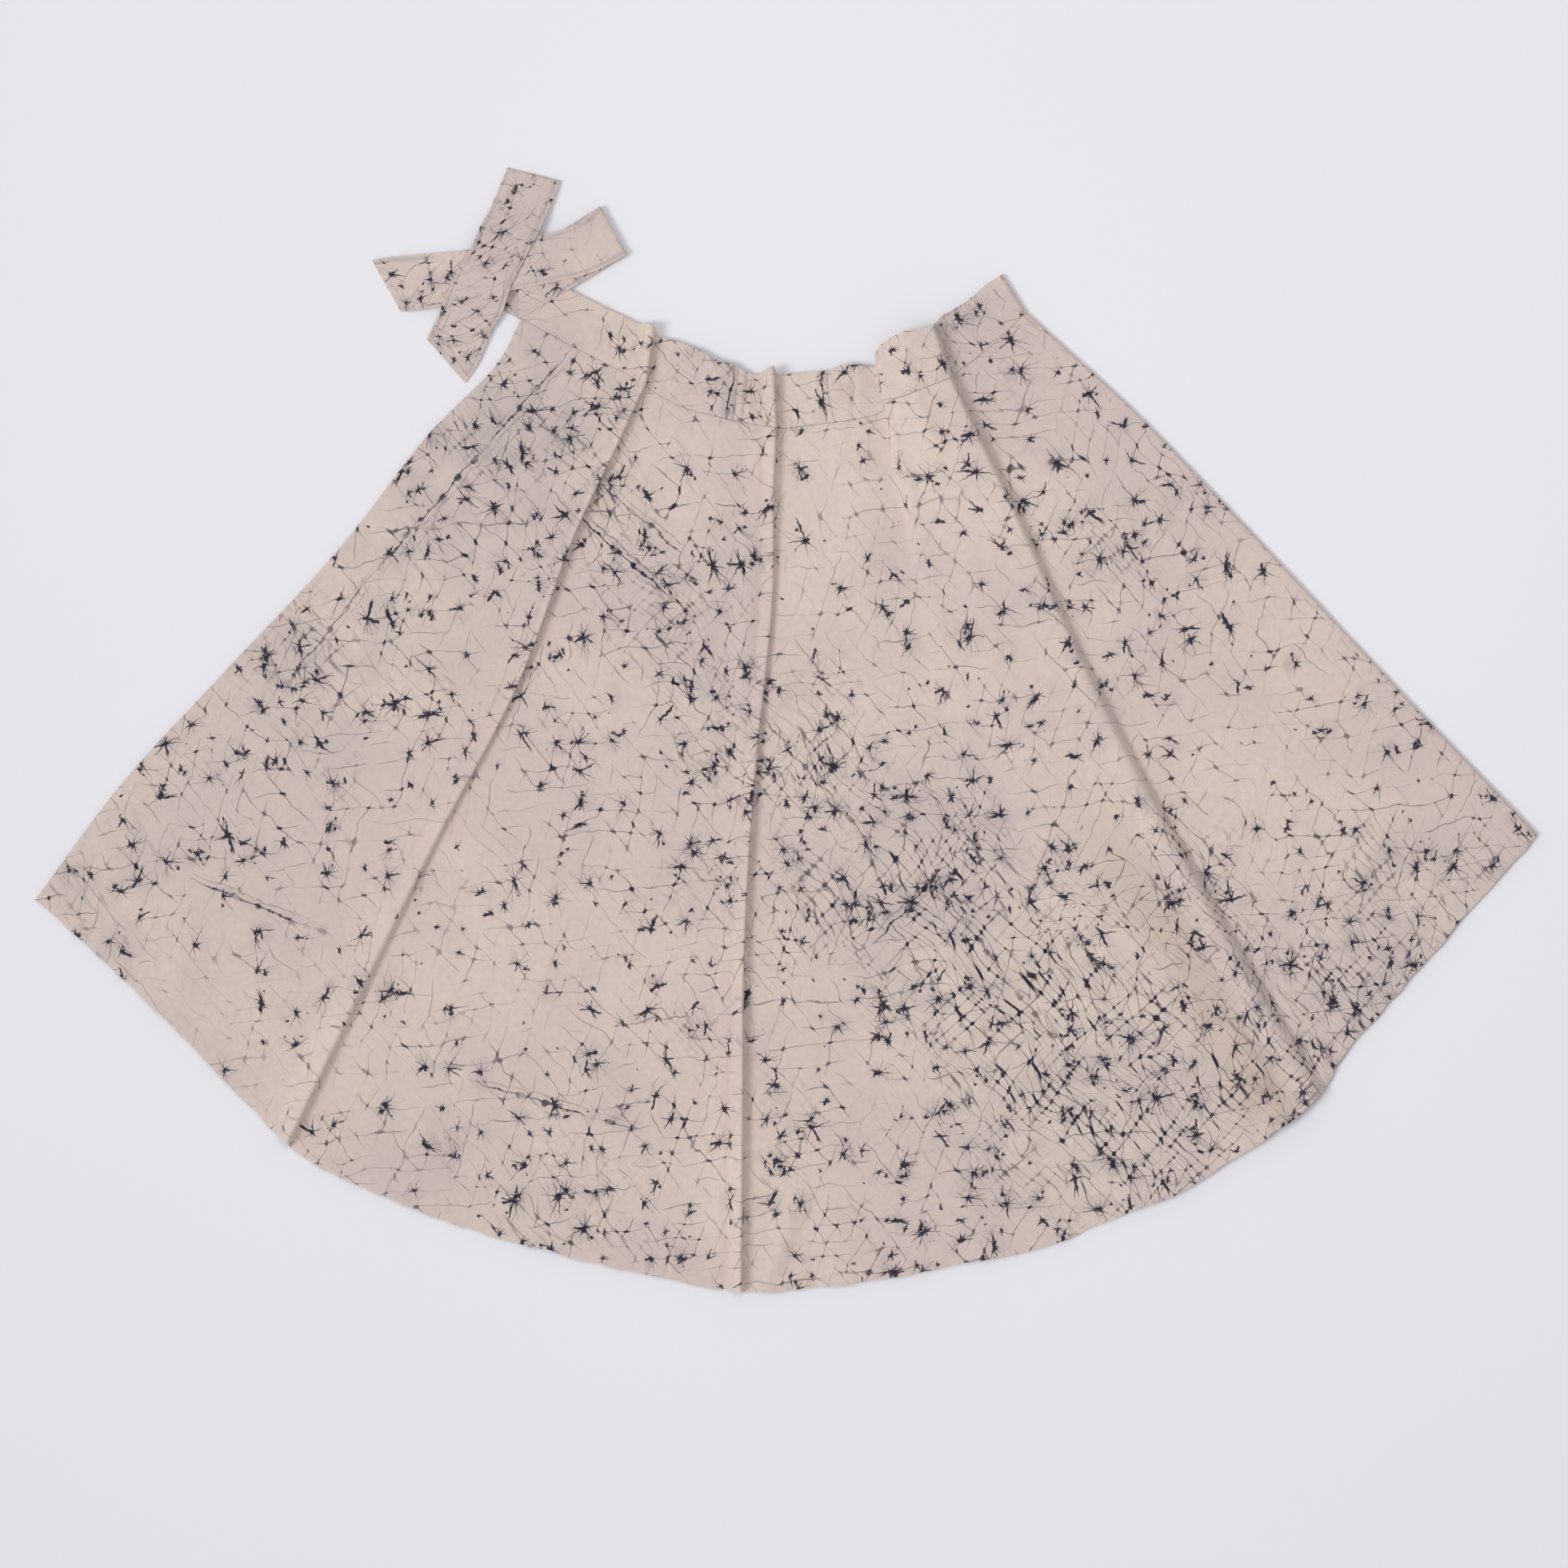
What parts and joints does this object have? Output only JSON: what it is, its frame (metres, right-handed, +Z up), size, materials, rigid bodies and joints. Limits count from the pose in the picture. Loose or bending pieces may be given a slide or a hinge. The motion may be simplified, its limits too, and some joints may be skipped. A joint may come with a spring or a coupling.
{
  "type": "wrap skirt",
  "caption": "Flared cotton wrap skirt with a straight waistband and two wide ties, folded in half and laid flat, with narrow folds from waist to hem.",
  "frame": {"origin": "on the table, under the middle of the laid-out garment", "axes": "+X across the garment towards its folded edge, +Y from the hem to the waistband, +Z up off the table"},
  "size_m": [1.2694, 0.9514, 0.0215],
  "materials": {
    "panel_cotton": "plain woven cotton, matt, cream with a fine dark blue crumple dye",
    "band_cotton": "double plain woven cotton, matt, cream with a fine dark blue crumple dye",
    "tie_cotton": "double plain woven cotton, matt, greyer cream with a fine dark blue crumple dye"
  },
  "bodies": {
    "root": {"skirt_upper_half": "panel_cotton", "skirt_hidden_half": "panel_cotton", "waistband_upper": "band_cotton", "waistband_hidden": "band_cotton", "tie_one": "tie_cotton", "tie_two": "tie_cotton", "tie_two_root": "tie_cotton"}
  },
  "joints": []
}
